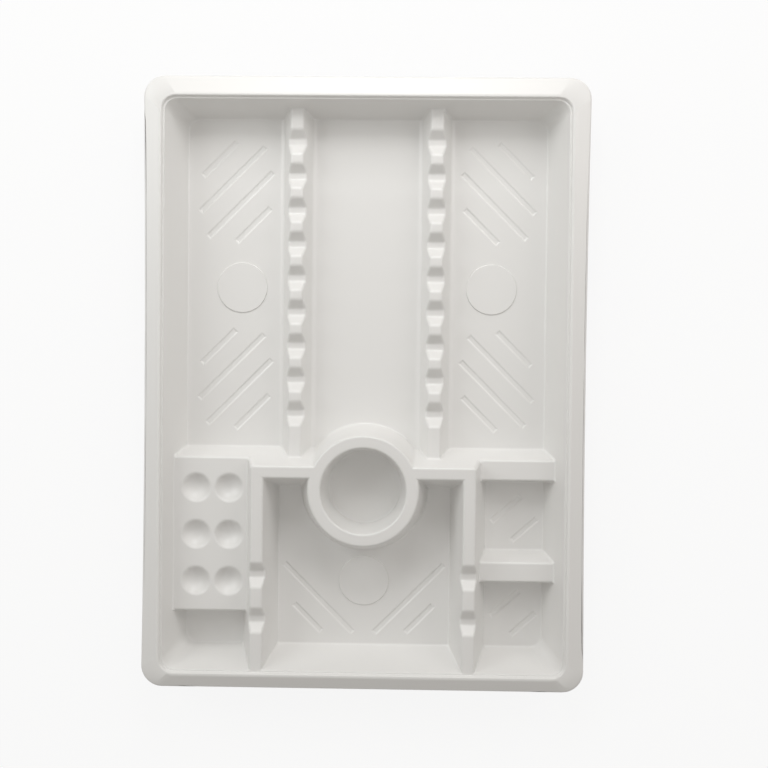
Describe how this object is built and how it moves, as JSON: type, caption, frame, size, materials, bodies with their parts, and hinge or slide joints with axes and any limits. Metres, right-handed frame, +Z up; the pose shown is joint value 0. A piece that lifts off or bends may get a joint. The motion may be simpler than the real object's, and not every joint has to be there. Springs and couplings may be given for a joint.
{
  "type": "instrument tray",
  "caption": "Shallow white formed plastic tray with long and small compartments, notched instrument ribs, a raised ring for a cup and a block of round dimples",
  "frame": {"origin": "middle of the tray's plan, on the plane that it stands on", "axes": "+X across the tray, +Y along it towards the long compartments, +Z up"},
  "size_m": [0.1998, 0.275, 0.0228],
  "materials": {
    "tray_plastic": "satin-gloss white formed polystyrene sheet"
  },
  "bodies": {
    "root": {"instrument_tray": "tray_plastic"}
  },
  "joints": []
}
